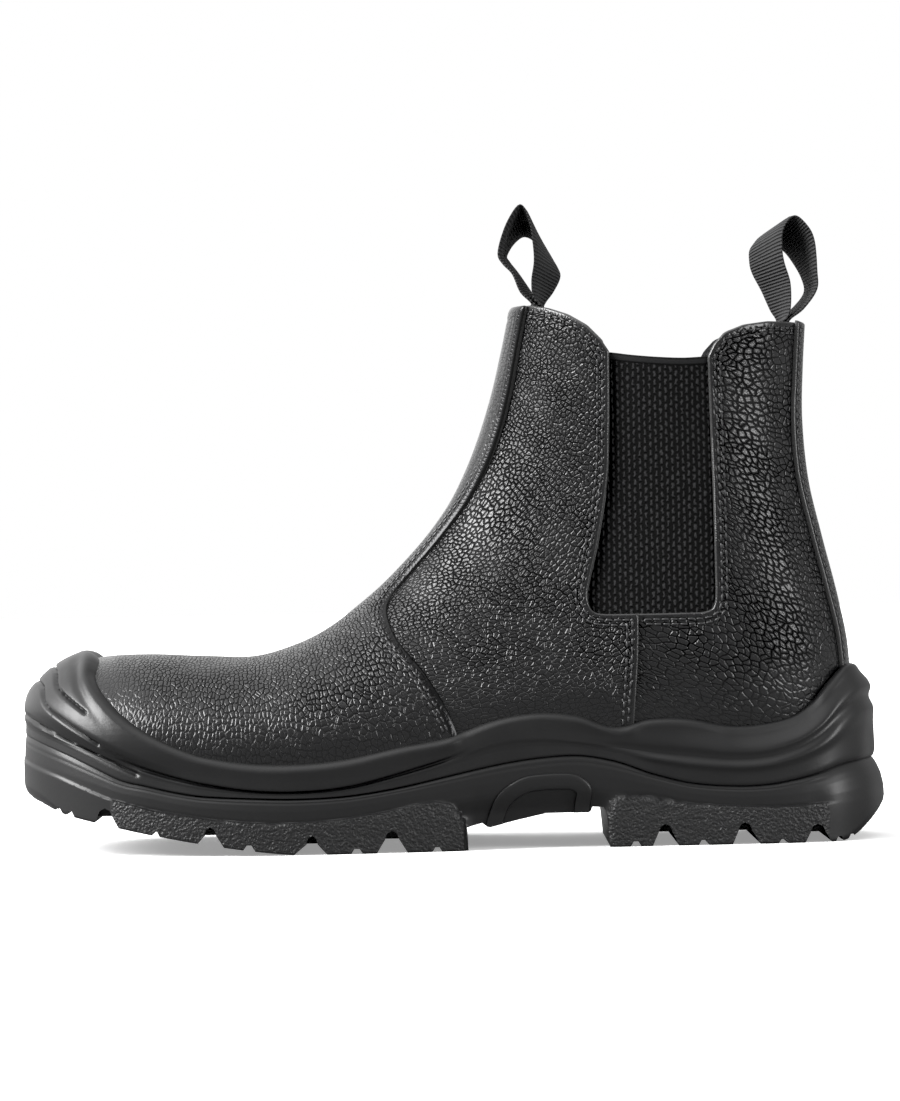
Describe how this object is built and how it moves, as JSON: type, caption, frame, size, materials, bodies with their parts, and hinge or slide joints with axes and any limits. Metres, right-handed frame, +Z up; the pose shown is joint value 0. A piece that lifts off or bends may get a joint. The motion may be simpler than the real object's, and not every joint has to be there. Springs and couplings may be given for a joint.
{
  "type": "side gore work boot",
  "caption": "Low elastic-sided leather work boot with a moulded sole that climbs over the toe as a bumper, deep tread lugs, a raised heel, side gores and webbing pull loops.",
  "frame": {"origin": "on the floor under the middle of the boot's own box", "axes": "+X toward the heel along the boot, -X toward the toe, +Y toward the inner (medial) side of this left boot, +Z up"},
  "size_m": [0.306, 0.1152, 0.2262],
  "materials": {
    "tread_rubber": "matt, finely textured",
    "moulded_sole": "smooth, half gloss",
    "grain_leather": "pebbled grain, half gloss",
    "elastic": "matt woven elastic",
    "webbing": "ribbed woven tape",
    "lining": "matt felt"
  },
  "bodies": {
    "root": {"outsole": "tread_rubber", "midsole": "moulded_sole", "insole": "lining", "upper": "grain_leather", "vamp": "grain_leather", "quarter_lateral": "grain_leather", "quarter_medial": "grain_leather", "back_strip": "grain_leather", "gore_lateral": "elastic", "gore_medial": "elastic", "pull_loop_front": "webbing", "pull_loop_back": "webbing"}
  },
  "joints": []
}
